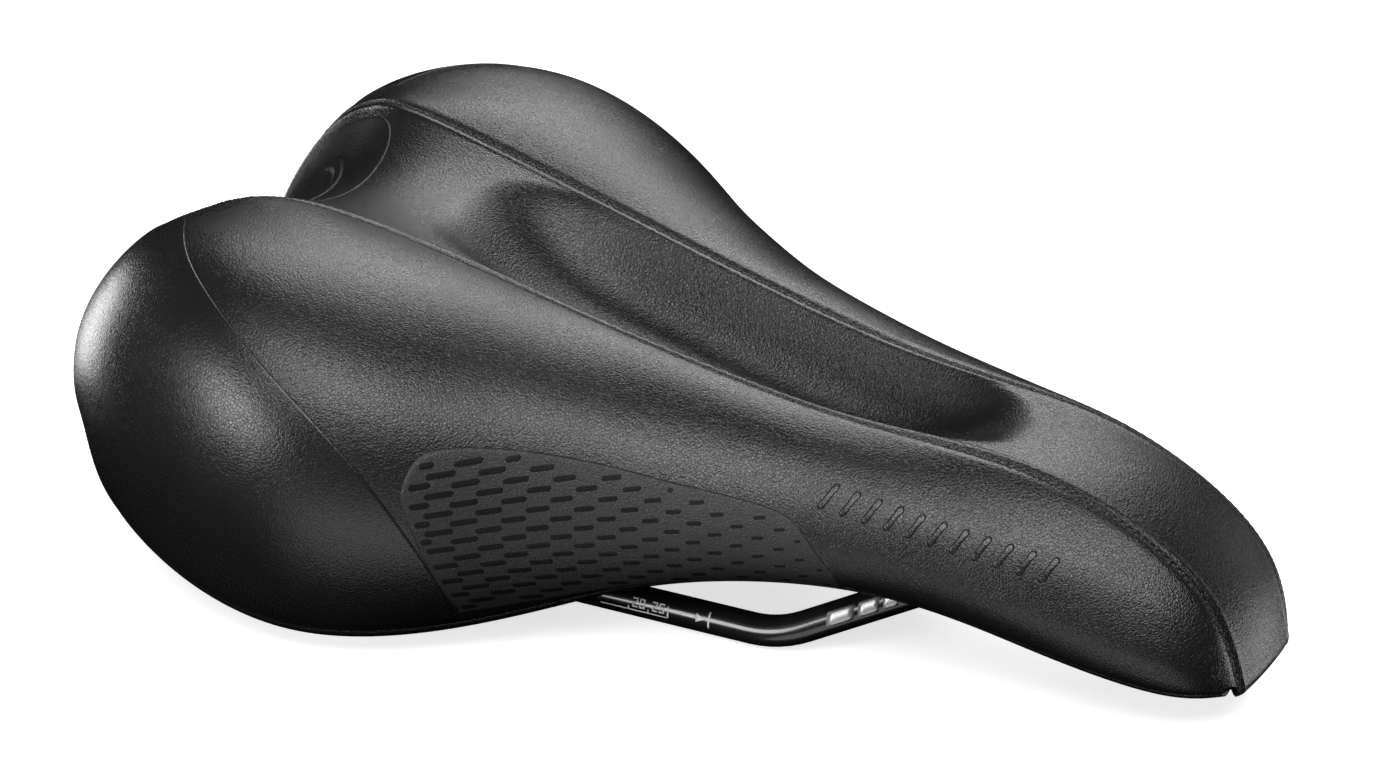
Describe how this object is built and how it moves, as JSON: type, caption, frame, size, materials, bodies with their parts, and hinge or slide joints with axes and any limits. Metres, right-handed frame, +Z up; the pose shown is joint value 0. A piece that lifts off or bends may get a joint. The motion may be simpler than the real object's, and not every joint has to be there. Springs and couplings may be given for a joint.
{
  "type": "bicycle saddle",
  "caption": "Padded bicycle saddle with two wings, a long nose, a relief channel along the middle, a stiff base shell and one bent steel rod as its rails.",
  "frame": {"origin": "midway between the two rail axes, at their height, in the straight stretch where a seat post clamps them", "axes": "+X to the nose, +Y to the rider's left, +Z up"},
  "size_m": [0.2701, 0.1743, 0.0867],
  "materials": {
    "cover_skin": "satin fine-grained synthetic leather",
    "seam_skin": "dark stitched welt",
    "glossy_film": "glossy bonded film",
    "grip_film": "matte debossed film",
    "foam": "moulded polyurethane foam",
    "base_plastic": "moulded nylon, fine texture",
    "rail_paint": "gloss black paint on steel",
    "rubber": "matte",
    "screw_steel": "plated"
  },
  "bodies": {
    "root": {"base_shell": "base_plastic", "cover_centre_panel": "cover_skin", "cover_side_panel_left": "cover_skin", "cover_side_panel_right": "cover_skin", "flank_grip_patch_left": "grip_film", "flank_grip_patch_right": "grip_film", "foam_pad": "foam", "nose_clamp_screws": "screw_steel", "nose_rail_clamp": "base_plastic", "rails": "rail_paint", "rear_badge_patch": "glossy_film", "rear_cap_screws": "screw_steel", "rear_rail_bushing_left": "rubber", "rear_rail_bushing_right": "rubber", "rear_rail_cap_left": "base_plastic", "rear_rail_cap_right": "base_plastic", "seam_welt_left": "seam_skin", "seam_welt_right": "seam_skin", "wing_scuff_patch_left": "glossy_film", "wing_scuff_patch_right": "glossy_film"}
  },
  "joints": []
}
